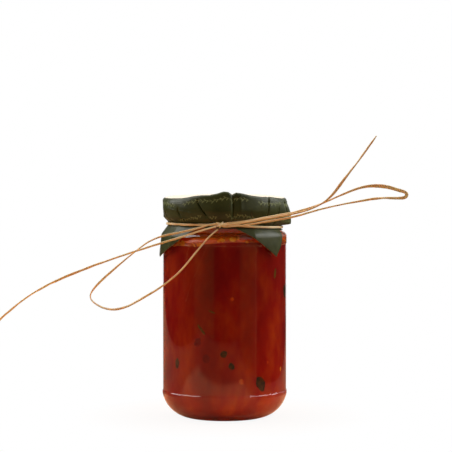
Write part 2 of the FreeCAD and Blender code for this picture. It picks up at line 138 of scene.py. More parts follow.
def roughen(height, strength, distance):
    """Lets a value raise and lower the surface that the shader sees."""
    node = put(nodes.new("ShaderNodeBump"), {"Strength": strength, "Distance": distance})
    link(height, node.inputs["Height"])
    link(node.outputs["Normal"], shader.inputs["Normal"])


raffia, nodes, link, shader = bare_material("raffia")
along_strip = uv_place("strip")
fibres = clouds(stretched(along_strip, (9, 0.35, 1)), 1.6, 5)
patches = clouds(stretched(along_strip, (0.6, 0.5, 1)), 1.0)
fibre_colour = ramp(fibres, [
    (0.28, (0.58, 0.300, 0.120)),
    (0.42, (0.82, 0.520, 0.250)),
    (0.58, (0.92, 0.680, 0.400)),
    (0.76, (0.97, 0.820, 0.600)),
])
patch_colour = ramp(patches, [(0.35, (0.92, 0.76, 0.62)), (0.60, (1.0, 1.0, 1.0))])
paint(colour_mix(1, fibre_colour, patch_colour, "MULTIPLY"))
roughen(fibres, 0.6, 0.00012)
put(shader, {
    "Roughness": 0.5, "Specular IOR Level": 0.4, "Subsurface Weight": 0.25,
    "Subsurface Radius": (1.0, 0.5, 0.2), "Subsurface Scale": 0.001,
})


def smooth_line(points):
    """Points close together along the smooth line of a route."""
    curve = bpy.data.curves.new("route", "CURVE")
    curve.dimensions = "3D"
    curve.resolution_u = 16
    spline = curve.splines.new("NURBS")
    spline.points.add(len(points) - 1)
    for place, point in zip(spline.points, points):
        place.co = (*point, 1)
    spline.order_u = 3
    spline.use_endpoint_u = True
    holder = bpy.data.objects.new("route", curve)
    mesh = bpy.data.meshes.new_from_object(holder)
    line = [vertex.co.copy() for vertex in mesh.vertices]
    bpy.data.objects.remove(holder)
    bpy.data.curves.remove(curve)
    bpy.data.meshes.remove(mesh)
    return line


def rows_beside(table, place):
    """The rows of a table before and after a place, and how far between them it lies."""
    for before, after in zip(table, table[1:]):
        if place <= after[0]:
            break
    return before, after, min(max((place - before[0]) / (after[0] - before[0]), 0), 1)


def between(stations, share):
    """Width, curl and turn at a share of the length, eased between the stations on each side."""
    before, after, part = rows_beside(stations, share)
    eased = part * part * (3 - 2 * part)
    return [a + (b - a) * eased for a, b in zip(before[1:], after[1:])]


STRIP_THICKNESS = 0.00016
STRIP_POINTS = 9

# Every strip wanders slowly and flutters quickly along its length: how often, per metre, and how
# far that changes its width, its curl and its turn.
WANDER_RATE, FLUTTER_RATE = 160, 700
WANDER_WIDTH, FLUTTER_WIDTH = 0.22, 0.10
WANDER_CURL, LEAST_CURL, WANDER_TURN = 60, 5, 40
UV_PER_METRE = 100
UV_SEAM = 0.1


def strip(name, line, stations, outwards, seed=0.0, closed=False):
    """A rolled strip of raffia along a line, which turns about it.

    Each station is a share of the length, a width in millimetres, a curl and a turn in degrees.
    At turn 0 the strip's broad face looks outwards.
    """
    lengths = [0.0]
    for before, after in zip(line, line[1:]):
        lengths.append(lengths[-1] + (after - before).length)
    shape = bmesh.new()
    strip_uv = shape.loops.layers.uv.new("strip")
    rings, marks = [], []
    for index, place in enumerate(line):
        before, after = line[max(index - 1, 0)], line[min(index + 1, len(line) - 1)]
        if closed:
            before, after = line[index - 1], line[(index + 1) % len(line)]
        share = lengths[index] / lengths[-1]
        width, curl, turn = between(stations, share)
        wander = noise.noise(Vector((lengths[index] * WANDER_RATE, seed, 0)))
        flutter = noise.noise(Vector((lengths[index] * FLUTTER_RATE, seed + 7, 0)))
        width *= 0.001 * (1 + WANDER_WIDTH * wander + FLUTTER_WIDTH * flutter)
        curl = radians(max(curl + WANDER_CURL * wander, LEAST_CURL))
        turn = radians(turn + WANDER_TURN * wander)
        forward = (after - before).normalized()
        out = outwards(place)
        out = (out - forward * out.dot(forward)).normalized()
        side = forward.cross(out)
        broad = side * cos(turn) + out * sin(turn)
        face = out * cos(turn) - side * sin(turn)
        bend = width / curl
        sink = bend * (1 - sin(curl / 2) / (curl / 2))
        outer, inner = [], []
        for step in range(STRIP_POINTS):
            angle = curl * (step / (STRIP_POINTS - 1) - 0.5)
            middle = place + broad * (bend * sin(angle)) + face * (bend * cos(angle) - bend + sink)
            normal = broad * sin(angle) + face * cos(angle)
            outer.append(shape.verts.new(middle + normal * STRIP_THICKNESS / 2))
            inner.append(shape.verts.new(middle - normal * STRIP_THICKNESS / 2))
        rings.append(outer + inner[::-1])
        marks.append(lengths[index] * UV_PER_METRE)
    count = 2 * STRIP_POINTS
    across = [step / (STRIP_POINTS - 1) for step in range(STRIP_POINTS)]
    across += [2 - u for u in across[::-1]]
    pairs = list(zip(range(len(rings)), range(1, len(rings))))
    if closed:
        pairs.append((len(rings) - 1, 0))
        closing_mark = marks[-1] + UV_SEAM
    for first, second in pairs:
        end_mark = marks[second] if second else closing_mark
        for step in range(count):
            following = (step + 1) % count
            face = shape.faces.new((
                rings[first][step], rings[first][following],
                rings[second][following], rings[second][step],
            ))
            face.smooth = True
            places = (
                (across[step], marks[first]), (across[following], marks[first]),
                (across[following], end_mark), (across[step], end_mark),
            )
            for loop, uv in zip(face.loops, places):
                loop[strip_uv].uv = (uv[0] + seed, uv[1])
    if not closed:
        shape.faces.new(rings[0][::-1])
        shape.faces.new(rings[-1])
    bmesh.ops.recalc_face_normals(shape, faces=shape.faces)
    mesh = bpy.data.meshes.new(name)
    shape.to_mesh(mesh)
    shape.free()
    piece = bpy.data.objects.new(name, mesh)
    bpy.context.collection.objects.link(piece)
    mesh.materials.append(raffia)
    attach(piece, "root")
    return piece


def to_the_front(place):
    return Vector((0, -1, 0))


def middle_of(name):
    """The middle of a CAD node's box."""
    low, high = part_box(name)
    return (Vector(low) + Vector(high)) / 2


knot_middle = middle_of("raffia_knot")

loop_left_route = [
    (-0.0028, 0.0, 0.0008), (-0.0091, -0.0020, -0.0008), (-0.019, -0.0031, -0.0033),
    (-0.0344, -0.0036, -0.0062), (-0.0448, -0.0030, -0.0138), (-0.057, -0.0019, -0.0243),
    (-0.0655, -0.0010, -0.0323), (-0.068, -0.0006, -0.0380), (-0.0603, -0.0004, -0.0432),
    (-0.0513, -0.0006, -0.0434), (-0.0399, -0.0015, -0.0373), (-0.0285, -0.0026, -0.0303),
    (-0.0201, -0.0036, -0.0230), (-0.0122, -0.0039, -0.0128), (-0.0052, -0.0026, -0.0046),
    (-0.0017, -0.0005, -0.0023),
]
loop_left_stations = [
    (0.0, 0.9, 150, 20), (0.12, 1.1, 120, 10), (0.30, 1.0, 170, -30), (0.42, 1.3, 60, 30),
    (0.50, 1.2, 80, 70), (0.60, 1.3, 90, 20), (0.78, 1.1, 150, -20), (1.0, 0.9, 170, 0),
]
loop_right_route = [
    (0.0028, 0.0003, 0.0010), (0.0106, -0.0015, 0.0015), (0.023, -0.0029, 0.0041),
    (0.0384, -0.0035, 0.0068), (0.0507, -0.0033, 0.0106), (0.0626, -0.0027, 0.0161),
    (0.073, -0.0019, 0.0201), (0.0834, -0.0013, 0.0201), (0.0906, -0.0010, 0.0179),
    (0.095, -0.0008, 0.0167), (0.0947, -0.0008, 0.0141), (0.0904, -0.0009, 0.0137),
    (0.082, -0.0013, 0.0141), (0.0711, -0.0019, 0.0124), (0.0592, -0.0025, 0.0101),
    (0.0478, -0.0031, 0.0075), (0.0374, -0.0034, 0.0043), (0.0225, -0.0029, 0.0018),
    (0.0106, -0.0016, -0.0003), (0.0027, -0.0001, -0.0009),
]
loop_right_stations = [
    (0.0, 0.9, 160, 0), (0.15, 1.2, 120, 20), (0.28, 1.0, 160, -20), (0.36, 1.2, 80, 10),
    (0.43, 1.9, 30, 0), (0.50, 1.7, 20, 5), (0.56, 1.3, 70, -15), (0.70, 1.0, 150, 20),
    (0.85, 1.2, 120, -10), (1.0, 0.9, 170, 0),
]
end_left_route = [
    (-0.0027, -0.0011, -0.0007), (-0.0087, -0.0033, -0.0022), (-0.0188, -0.0047, -0.0056),
    (-0.034, -0.0053, -0.0100), (-0.0593, -0.0042, -0.0182), (-0.0855, -0.0022, -0.0286),
    (-0.1004, -0.0012, -0.0373), (-0.1128, -0.0007, -0.0476), (-0.1207, -0.0003, -0.0558),
    (-0.1259, 0.0, -0.0622),
]
end_left_stations = [
    (0.0, 1.0, 150, 0), (0.18, 1.2, 130, 20), (0.38, 1.1, 150, -20), (0.55, 1.4, 90, 10),
    (0.75, 1.2, 140, 40), (0.93, 1.3, 100, 0), (1.0, 0.5, 60, 0),
]
end_right_route = [
    (0.0027, -0.0014, 0.0002), (0.0101, -0.0036, 0.0009), (0.0225, -0.0049, 0.0034),
    (0.0384, -0.0054, 0.0062), (0.0488, -0.0052, 0.0094), (0.056, -0.0049, 0.0144),
    (0.0632, -0.0045, 0.0244), (0.0714, -0.0042, 0.0349), (0.0791, -0.0038, 0.0457),
]
end_right_stations = [
    (0.0, 1.0, 150, 0), (0.3, 1.2, 130, 20), (0.52, 1.0, 160, -10), (0.66, 1.5, 60, 0),
    (0.80, 1.1, 130, 30), (0.95, 1.1, 110, 0), (1.0, 0.4, 60, 0),
]

for name, route, stations, far_end, seed in (
    ("loop_left", loop_left_route, loop_left_stations, "object", 1.3),
    ("loop_right", loop_right_route, loop_right_stations, "object", 4.1),
    ("end_left", end_left_route, end_left_stations, "bare", 8.7),
    ("end_right", end_right_route, end_right_stations, "bare", 12.2),
):
    line = smooth_line([knot_middle + Vector(point) for point in route])
    length = sum((after - before).length for before, after in zip(line, line[1:]))
    piece = strip(f"raffia_{name}", line, stations, to_the_front, seed)
    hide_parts(name)


# --------------------------------------------
# Raffia in the neck: one round of the same strip of palm leaf, pulled tight under the lid so that
# it holds the paper down, and the knot at the front that the bow springs from.

tie_middle = middle_of("raffia_tie")
TIE_LINE_RADIUS = 0.03085
TIE_POINTS = 220
TIE_STATIONS = [(0.0, 1.2, 60, 0), (1.0, 1.2, 60, 0)]

# How much higher the tie runs at the front than in its middle, how much lower on the right, and
# how far the knot draws it up, within what angle.
TIE_FRONT_RISE, TIE_RIGHT_DROP = 0.0009, 0.0010
KNOT_LIFT, KNOT_REACH = 0.0008, 0.35


def at(angle, radius, height):
    """A place by its angle from the front, its distance from the axis and its height."""
    return Vector((radius * sin(angle), -radius * cos(angle), height))


def from_the_axis(place):
    return Vector((place.x, place.y, 0)).normalized()


def tie_height(angle):
    return tie_middle.z + TIE_FRONT_RISE * cos(angle) - TIE_RIGHT_DROP * sin(angle)


tie_line = []
for step in range(TIE_POINTS):
    angle = 2 * pi * step / TIE_POINTS
    lift = KNOT_LIFT * exp(-(atan2(sin(angle), cos(angle)) / KNOT_REACH) ** 2)
    tie_line.append(at(angle, TIE_LINE_RADIUS, tie_height(angle) + lift))
tie = strip("raffia_tie_round", tie_line, TIE_STATIONS, from_the_axis, 21.0, closed=True)
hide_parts("raffia_tie")

knot_lines = {
    "raffia_knot_wrap": [
        (0.0010, 0.0008, 0.0012), (0.0007, -0.0006, 0.0013), (0.0001, -0.0017, 0.0005),
        (-0.0005, -0.0017, -0.0006), (-0.0009, -0.0006, -0.0012), (-0.0010, 0.0008, -0.0011),
    ],
    "raffia_knot_cross": [
        (-0.0027, 0.0, -0.0007), (-0.0013, -0.0011, -0.0004), (0.0, -0.0014, 0.0001),
        (0.0013, -0.0011, 0.0006), (0.0027, 0.0, 0.0008),
    ],
    "raffia_knot_under": [
        (-0.0026, 0.0006, 0.0009), (-0.0010, -0.0006, 0.0008), (0.0004, -0.0010, -0.0002),
        (0.0014, -0.0006, -0.0008), (0.0026, 0.0006, -0.0008),
    ],
}
KNOT_STATIONS = [(0.0, 0.9, 90, 0), (0.5, 1.3, 70, 0), (1.0, 0.9, 90, 0)]
for number, (name, route) in enumerate(knot_lines.items()):
    line = smooth_line([knot_middle + Vector(point) for point in route])
    strip(name, line, KNOT_STATIONS, to_the_front, 30 + 3 * number)
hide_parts("raffia_knot")


# --------------------------------------------
# Glass jar: clear soda glass, pressed in a two-part mould and a little wavy, with a ring above
# and below the label panel and a neck for a twist-off lid.

glass, nodes, link, shader = bare_material("glass")


def object_place():
    return nodes.new("ShaderNodeTexCoord").outputs["Object"]


roughen(clouds(object_place(), 45, 1), 0.10, 0.0006)
put(shader, {
    "Base Color": (0.98, 0.99, 0.985, 1), "Roughness": 0.0, "IOR": 1.5,
    "Transmission Weight": 1.0,
})
for material_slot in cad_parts["glass_jar"].material_slots:
    material_slot.material = glass


# --------------------------------------------
# Sauce: thick red pepper sauce, filled in hot and pressed against the glass, with an uneven
# surface. Its colour is painted paler at the heel: painted light for the table's light below.

sauce_colour, nodes, link, shader = bare_material("sauce")


def parts_of(place):
    """The X, Y and Z of a place or of a direction."""
    node = nodes.new("ShaderNodeSeparateXYZ")
    link(place, node.inputs["Vector"])
    return node.outputs


def eased(value, none, full):
    """0 up to the value none and 1 from the value full on, with a soft change between.

    Where full is the smaller of the two, it changes the other way round.
    """
    node = nodes.new("ShaderNodeMapRange")
    node.interpolation_type = "SMOOTHSTEP"
    put(node, {"From Min": none, "From Max": full})
    link(value, node.inputs["Value"])
    return node.outputs["Result"]


# Painted light: the sauce is painted paler below the first of these heights, palest at the second.
HEEL_LIGHT_TOP, HEEL_LIGHT_FOOT = 0.024, 0.005
place = object_place()
streaks = stretched(place, (1, 1, 0.45))
pulp = ramp(clouds(streaks, 70, 4, 0.6), [
    (0.34, (0.340, 0.0030, 0.0006)),
    (0.50, (0.450, 0.0120, 0.0010)),
    (0.70, (0.600, 0.0520, 0.0020)),
])
depths = ramp(clouds(streaks, 28), [(0.35, (0.80, 0.66, 0.60)), (0.65, (1.0, 1.0, 1.0))])
_, _, above_foot = parts_of(place)
# Painted light from the table: below these heights the sauce's colour is multiplied paler.
painted_heel_light = eased(above_foot, HEEL_LIGHT_TOP, HEEL_LIGHT_FOOT)
clouded = colour_mix(1, pulp, depths, "MULTIPLY")
paint(colour_mix(painted_heel_light, clouded, (1.45, 1.6, 1.6), "MULTIPLY"))
put(shader, {
    "Roughness": 0.5, "Specular IOR Level": 0.05, "Subsurface Weight": 0.3,
    "Subsurface Radius": (1.0, 0.25, 0.05), "Subsurface Scale": 0.003,
})

INTO_WALL = 0.00015
GLASS_INNER_RADIUS = 0.03055
WALL_RADIUS = GLASS_INNER_RADIUS + INTO_WALL
GLASS_FLOOR = 0.005
INNER_HEEL = 0.011
SAUCE_LEVEL = 0.0914
SHOULDER_FOOT = 0.09315
SHOULDER_ROUND = 0.00335
BODY_RADIUS = 0.033
ROUND_SIDES = 160
SLIGHT = 0.0001


def choose(*pieces):
    """Selects these pieces and nothing else, and makes the first one active."""
    for item in bpy.context.selected_objects:
        item.select_set(False)
    for piece in pieces:
        piece.select_set(True)
        bpy.context.view_layer.objects.active = pieces[0]


def edit(piece):
    """Goes into edit mode on a piece with nothing of it selected, and gives its bmesh."""
    choose(piece)
    bpy.ops.object.mode_set(mode="EDIT")
    bpy.ops.mesh.select_mode(type="VERT")
    bpy.ops.mesh.select_all(action="DESELECT")
    return bmesh.from_edit_mesh(piece.data)


def finish_edit(piece):
    bmesh.update_edit_mesh(piece.data)
    bpy.ops.object.mode_set(mode="OBJECT")


def at_origin(piece):
    """Puts a piece's place into its mesh."""
    choose(piece)
    bpy.ops.object.transform_apply(location=True, rotation=True, scale=True)


def smooth_by_angle(piece):
    choose(piece)
    bpy.ops.object.shade_smooth_by_angle(angle=radians(35))


TILT_RIGHT, TILT_FRONT, RIPPLE, HEAP = 0.0009, 0.0017, 0.00045, 0.0012


def sauce_level(x, y):
    """Height of the sauce's surface, which is tilted, gently lumpy and heaped at the front."""
    x, y = x / BODY_RADIUS, y / BODY_RADIUS
    ripple = sin(7 * x + 1.0) * cos(5 * y) + 0.6 * sin(9 * y)
    heap = exp(-((x - 0.15) ** 2 + (y + 0.95) ** 2) / 0.16)
    return SAUCE_LEVEL + TILT_RIGHT * x - TILT_FRONT * y + RIPPLE * ripple + HEAP * heap


def shoulder_radius(height):
    """Inner radius of the glass at a height, a little way into the wall."""
    rise = min(max((height - SHOULDER_FOOT) / SHOULDER_ROUND, 0), 1)
    bore = GLASS_INNER_RADIUS - SHOULDER_ROUND
    return bore + INTO_WALL + SHOULDER_ROUND * sqrt(1 - rise**2)


SURFACE_RINGS = 14
RING_STEP = 0.0021
choose()
sauce_depth = SAUCE_LEVEL - GLASS_FLOOR + INTO_WALL
bpy.ops.mesh.primitive_cylinder_add(
    vertices=ROUND_SIDES, radius=WALL_RADIUS, depth=sauce_depth, end_fill_type="NGON",
    location=(0, 0, SAUCE_LEVEL - sauce_depth / 2),
)
sauce = bpy.context.object
sauce.name = "sauce_filling"
at_origin(sauce)
shape = edit(sauce)
for edge in shape.edges:
    edge.select = all(vertex.co.z < GLASS_FLOOR for vertex in edge.verts)
bpy.ops.mesh.bevel(offset=INNER_HEEL, segments=12, affect="EDGES")
shape = bmesh.from_edit_mesh(sauce.data)
for face in shape.faces:
    face.select = face.normal.z > 0.9
for ring in range(SURFACE_RINGS):
    bpy.ops.mesh.inset(thickness=RING_STEP, depth=0)
shape = bmesh.from_edit_mesh(sauce.data)
for vertex in shape.verts:
    if vertex.co.z > SAUCE_LEVEL - SLIGHT:
        vertex.co.z = sauce_level(vertex.co.x, vertex.co.y)
        close = min(1, shoulder_radius(vertex.co.z) / hypot(vertex.co.x, vertex.co.y, 1e-6))
        vertex.co.x *= close
        vertex.co.y *= close
finish_edit(sauce)
smooth_by_angle(sauce)
sauce.data.materials.append(sauce_colour)
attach(sauce, "root")
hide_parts("sauce")


# --------------------------------------------
# Bits in the sauce: olive, caper leaf and pepper, cut small, cooked in it and sunk in it against
# the glass. Each is a soft lump bent to the wall.

BIT_THICKNESS = 0.0005
BIT_PROUD = 0.0001
BIT_SPREAD = 1.15
BIT_LUMPS = [(3.0, 0.32), (7.0, 0.12)]
BIT_COLOURS = {
    "olive": [(0.35, (0.042, 0.020, 0.003)), (0.65, (0.120, 0.038, 0.004))],
    "leaf": [(0.35, (0.140, 0.055, 0.004)), (0.65, (0.230, 0.090, 0.008))],
    "skin": [(0.35, (0.210, 0.003, 0.001)), (0.65, (0.280, 0.006, 0.001))],
    "pepper": [(0.35, (0.600, 0.035, 0.002)), (0.65, (0.800, 0.110, 0.004))],
    # Yellow is pepper, and in the oil it is also a painted highlight of backlight shining through
    # it.
    "yellow": [(0.35, (0.950, 0.230, 0.008)), (0.65, (1.000, 0.420, 0.035))],
}

# Kind, angle from the front, height, width and height of the bit in millimetres, and its tilt.
FRONT_BITS = [
    ("olive", 37.0, 20.0, 5.6, 9.2, -24), ("olive", -51.3, 30.1, 3.4, 6.0, 8),
    ("olive", -1.0, 36.2, 3.4, 4.2, 30), ("olive", 6.6, 30.0, 3.2, 3.6, -20),
    ("olive", 79.6, 66.6, 6.0, 8.6, 0), ("leaf", -22.3, 48.5, 1.3, 7.5, -38),
    ("leaf", 56.0, 77.0, 2.0, 6.0, 10), ("leaf", -12.0, 58.0, 0.8, 4.0, -70),
    ("pepper", 16.2, 21.7, 3.2, 2.8, 20), ("yellow", 66.7, 26.4, 1.6, 2.6, 10),
    ("pepper", 7.1, 64.6, 1.7, 1.8, 0), ("pepper", 45.0, 31.0, 1.4, 1.6, 0),
    ("skin", -17.4, 33.6, 4.4, 5.2, 0), ("skin", -26.4, 41.9, 3.6, 5.2, 15),
    # These yellow crumbs in the oil, 91 to 95 mm up, are painted highlights of backlight through
    # it.
    ("yellow", -48.0, 93.4, 3.8, 1.5, 25), ("yellow", -56.0, 91.6, 3.4, 1.0, 0),
    ("yellow", -2.6, 95.0, 3.4, 1.5, 8), ("yellow", 8.0, 95.2, 4.0, 1.9, -6),
]
# Crumbs of pepper afloat on the sauce, whose bright yellow is also a painted highlight of
# backlight
# shining through the oil: where each cluster lies, how far it spreads, its count.
HIGHLIGHT_CLUSTERS = [
    (-50.0, 92.5, 5.0, 7), (-41.0, 93.2, 4.5, 7), (-30.0, 92.3, 4.0, 4), (-22.0, 93.0, 3.0, 3),
    (-4.0, 95.0, 3.0, 2), (11.0, 95.0, 2.5, 2), (24.0, 94.4, 3.0, 2), (84.0, 93.8, 5.0, 5),
]
scatter = Random(11)
bits = list(FRONT_BITS)
for middle_angle, middle_height, spread, count in HIGHLIGHT_CLUSTERS:
    for number in range(count):
        angle = middle_angle + spread * scatter.uniform(-1, 1)
        height = middle_height + scatter.uniform(-0.7, 0.7)
        bits.append((
            "yellow", angle, height, scatter.uniform(0.7, 2.6), scatter.uniform(0.5, 1.3),
            scatter.uniform(-35, 35),
        ))

# Bits behind the front half: kind, how many, and the least and the greatest width.
BACK_BITS = [
    ("olive", 7, 2.8, 6.5), ("leaf", 5, 1.2, 3.0), ("skin", 9, 3.0, 6.5), ("pepper", 9, 1.6, 4.5),
    ("yellow", 4, 1.4, 3.0),
]
for kind, count, least, most in BACK_BITS:
    for number in range(count):
        angle = 100 + 160 * (number + scatter.uniform(0.1, 0.9)) / count
        width = scatter.uniform(least, most)
        bits.append((
            kind, angle, scatter.uniform(16, 86), width, width * scatter.uniform(0.7, 1.8),
            scatter.uniform(-40, 40),
        ))

# Crumbs afloat at the back, bright yellow like the front ones, as painted highlights.
BACK_CRUMBS = 13
for number in range(BACK_CRUMBS):
    angle = 98 + 165 * (number + scatter.uniform(0.2, 0.8)) / BACK_CRUMBS
    turn = radians(angle)
    height = sauce_level(BODY_RADIUS * sin(turn), -BODY_RADIUS * cos(turn))
    bits.append((
        "yellow", angle, 1000 * height + scatter.uniform(-0.2, 0.6), scatter.uniform(1.5, 4.5),
        scatter.uniform(0.9, 1.8), scatter.uniform(-15, 15),
    ))

for kind, stops in BIT_COLOURS.items():
    flesh, nodes, link, shader = bare_material(f"bits_{kind}")
    paint(ramp(clouds(object_place(), 500), stops))
    put(shader, {"Roughness": 0.5, "Specular IOR Level": 0.05})
    lumps = []
    for angle, height, width, tall, tilt in [row[1:] for row in bits if row[0] == kind]:
        choose()
        bpy.ops.mesh.primitive_ico_sphere_add(subdivisions=3, radius=0.5)
        lump = bpy.context.object
        shape = edit(lump)
        # Each lump reads a stretch of the noise of its own.
        own = Vector((angle, height, 0))
        lean = radians(tilt)
        for vertex in shape.verts:
            uneven = sum(depth * noise.noise(vertex.co * rate + own) for rate, depth in BIT_LUMPS)
            grown = BIT_SPREAD * (1 + uneven)
            right, up = grown * vertex.co.x * width, grown * vertex.co.z * tall
            right, up = right * cos(lean) + up * sin(lean), up * cos(lean) - right * sin(lean)
            turn = radians(angle) + right / 1000 / WALL_RADIUS
            wall = shoulder_radius((height + up) / 1000)
            radius = wall + BIT_PROUD - BIT_THICKNESS * (0.5 - vertex.co.y)
            vertex.co = at(turn, radius, (height + up) / 1000)
        finish_edit(lump)
        lumps.append(lump)
    choose(*lumps)
    bpy.ops.object.join()
    bpy.ops.object.shade_smooth()
    joined = bpy.context.object
    joined.name = f"bits_{kind}"
    at_origin(joined)
    joined.data.materials.append(flesh)
    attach(joined, "root")


# --------------------------------------------
# Oil: the clear orange layer that has risen over the sauce. It fills the shoulder and part of the
# neck, and has taken its colour from the peppers.

oil_colour, nodes, link, shader = bare_material("oil")
put(shader, {
    "Base Color": (1.0, 0.17, 0.003, 1), "Roughness": 0.05, "IOR": 1.47,
    "Specular IOR Level": 0.1, "Transmission Weight": 0.42,
})
murk = put(nodes.new("ShaderNodeVolumeAbsorption"), {
    "Color": (0.95, 0.55, 0.05, 1), "Density": 150,
})
link(murk.outputs["Volume"], nodes["Material Output"].inputs["Volume"])

# The oil starts inside the sauce, comes out at its surface and follows the shoulder up.
OIL_LEVEL = 0.1042
OIL_IN_SAUCE = 0.002
SHOULDER_STEPS = 9
choose()
bpy.ops.mesh.primitive_circle_add(
    vertices=ROUND_SIDES, radius=WALL_RADIUS - OIL_IN_SAUCE, fill_type="NGON",
    location=(0, 0, SAUCE_LEVEL - 2 * OIL_IN_SAUCE),
)
oil = bpy.context.object
oil.name = "oil_layer"
at_origin(oil)
edit(oil)
bpy.ops.mesh.select_all(action="SELECT")
for step in range(SHOULDER_STEPS + 1):
    bpy.ops.mesh.extrude_region_move(TRANSFORM_OT_translate={"value": (0, 0, 0)})
    shape = bmesh.from_edit_mesh(oil.data)
    for vertex in shape.verts:
        if not vertex.select:
            continue
        angle = atan2(vertex.co.x, -vertex.co.y)
        low = sauce_level(WALL_RADIUS * sin(angle), -WALL_RADIUS * cos(angle)) - SLIGHT
        height = low + (SHOULDER_FOOT + SHOULDER_ROUND - low) * step / SHOULDER_STEPS
        radius = shoulder_radius(height)
        vertex.co = at(angle, radius, height)
    bmesh.update_edit_mesh(oil.data)
rise = OIL_LEVEL - SHOULDER_FOOT - SHOULDER_ROUND
bpy.ops.mesh.extrude_region_move(TRANSFORM_OT_translate={"value": (0, 0, rise)})
bpy.ops.mesh.select_all(action="SELECT")
bpy.ops.mesh.normals_make_consistent(inside=False)
finish_edit(oil)
smooth_by_angle(oil)
oil.data.materials.append(oil_colour)
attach(oil, "root")
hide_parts("oil")


# --------------------------------------------
# Lid: a twist-off lid of lacquered tinplate, pressed with a rolled edge. It is screwed to the
# neck, and all of it is under the paper.

tinplate, nodes, link, shader = bare_material("lid_metal")
lacquer = [(0.35, (0.78, 0.75, 0.68)), (0.65, (0.86, 0.84, 0.79))]
paint(ramp(clouds(object_place(), 180), lacquer))
put(shader, {"Roughness": 0.3})
for material_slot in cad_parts["lid"].material_slots:
    material_slot.material = tinplate


# --------------------------------------------
# Paper cover: a square of glossy paper, printed dark green round a cream middle, gathered over
# the lid and tied in at the neck, so that its four corners stand out below the tie.

# Where the sheet's four corners hang, in degrees from the front.
PAPER_CORNERS = (-79, 51.5, 138, 212)
RIM_RADIUS = 0.0327
RIM_ROUND = 0.0015
COVER_MIDDLE = 0.1171
NECK_LINE_RADIUS = 0.0299
# The height in the tables of radii that stands for the tie's upper edge, in millimetres.
WAIST_LEVEL = 102.9
HALF_WAIST = 0.0008
SHOULDER_RADIUS = 0.0032
RING_TOP = 0.0954
PAPER_ABOVE_GLASS = 0.0005
CUT_EDGE = 0.00018
HANG_LEAN = radians(6)

# The paper stays outside the lid's side, the lid's rolled edge and the neck.
LID_REACH, LID_EDGE_REACH, NECK_REACH = 0.03175, 0.0324, 0.0298
LID_EDGE_FOOT, LID_EDGE_TOP = 0.1058, 0.1078

# Height of the cover's upper rim, in millimetres, by the angle from the front.
RIM_HEIGHTS = [
    (-180, 117.1), (-120, 116.6), (-90, 116.1), (-65, 116.0), (-45, 116.3), (-38, 116.8),
    (-30, 117.6), (-22, 118.1), (-14, 118.2), (-7, 119.0), (-1, 120.0), (3.5, 119.8),
    (6.6, 118.6), (8.5, 118.9), (11, 119.5), (18, 118.9), (26, 117.9), (38, 117.1), (46, 117.1),
    (60, 116.3), (72, 115.9), (90, 115.9), (120, 116.5), (150, 116.9), (180, 117.1),
]

# Radius of the cover's side by height, in millimetres: it is slack over the lid's side, close
# over its rolled edge, and then drawn in to the tie.
SIDE_RADII = [
    (102.9, 29.95), (103.6, 30.4), (104.6, 31.5), (105.6, 32.25), (106.6, 32.45), (108.0, 32.6),
    (110.0, 32.8), (113.0, 32.75), (130.0, 32.7),
]

# The same radii where the fold on the right stands out: it ends in a loose lower edge.
FOLD_RADII = [
    (102.9, 29.95), (103.3, 31.5), (103.7, 34.9), (105.1, 35.1), (109.4, 34.9), (111.0, 34.4),
    (112.6, 33.9), (114.7, 33.0), (118.0, 32.7),
]

# How far the sheet hangs below the tie, measured along it in millimetres, by the angle.
SKIRT_DROPS = [
    (-148, 16.8), (-118, 1.2), (-112, 0.8), (-105, 2.6), (-92, 12.0), (-86, 16.8), (-79, 17.7),
    (-71, 16.0), (-53, 11.2), (-44.8, 8.3), (-37.3, 5.0), (-32.3, 2.9), (-25, 0.8), (-16, 0.5),
    (11, 0.5), (15, 1.4), (51.5, 15.7), (57.5, 11.0), (63.2, 6.4), (65, 3.4), (69, 1.0),
    (100, 0.8), (106, 1.0), (138, 17.6), (173, 1.2), (176, 1.0), (212, 16.8), (242, 1.2),
]

